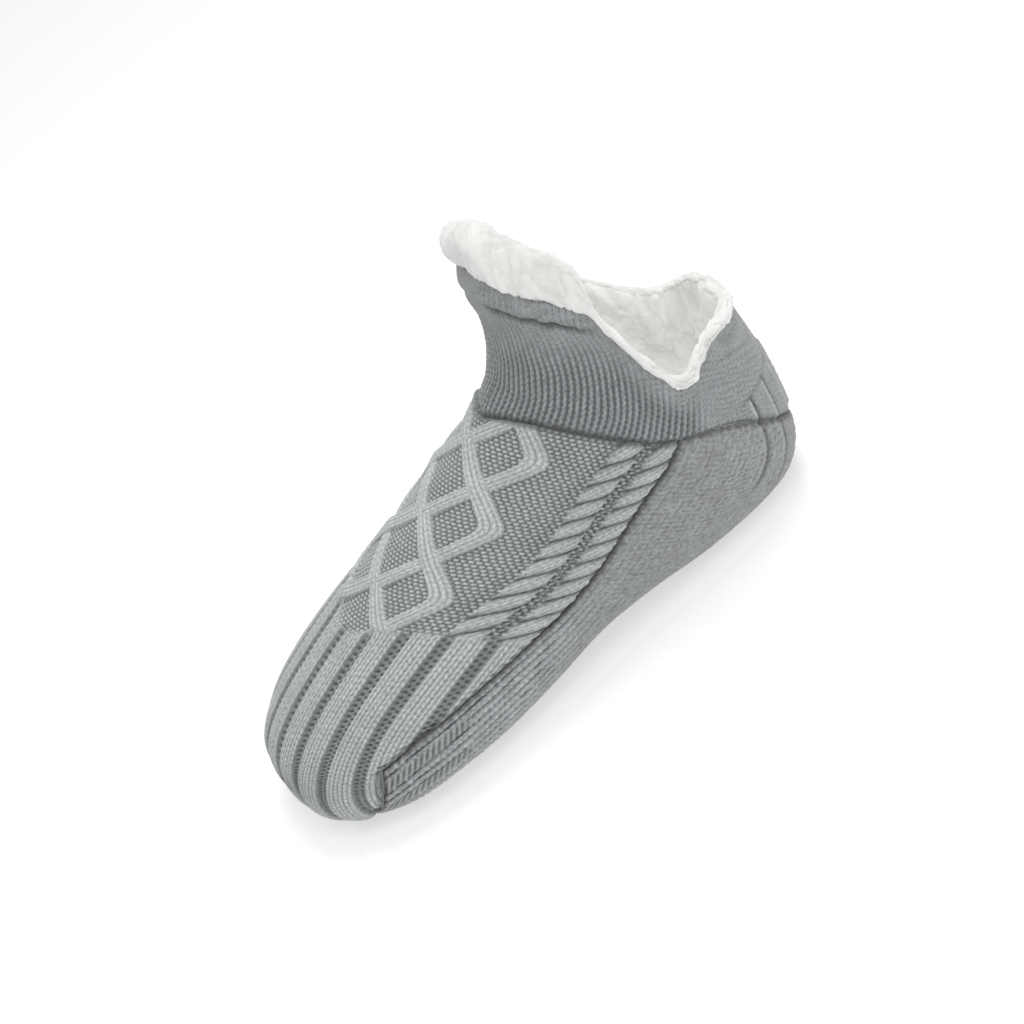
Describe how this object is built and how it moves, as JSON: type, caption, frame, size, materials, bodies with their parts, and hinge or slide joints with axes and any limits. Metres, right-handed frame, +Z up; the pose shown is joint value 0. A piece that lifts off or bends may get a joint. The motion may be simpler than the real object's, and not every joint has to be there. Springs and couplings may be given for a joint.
{
  "type": "slipper sock",
  "caption": "Knitted slipper sock with a cable-knit instep, ribbed toe and cuff, side notches at the ankle, a plain-knit sole and a rolled fleece lining.",
  "frame": {"origin": "centre of the bounding box, on the floor under the sole", "axes": "+X to the toe, +Y to the sock's left side, +Z up; the sock stands flat on its sole"},
  "size_m": [0.249, 0.1042, 0.1666],
  "materials": {
    "cable_knit": "matte light grey marl yarn in cables and ribs",
    "rib_knit": "matte mid grey rib knit",
    "sole_knit": "matte mid grey plain knit, slightly felted",
    "fleece": "soft off-white curly fleece"
  },
  "bodies": {
    "root": {"cable_upper": "cable_knit", "ankle_cuff": "rib_knit", "knit_sole": "sole_knit", "fleece_lining": "fleece"}
  },
  "joints": []
}
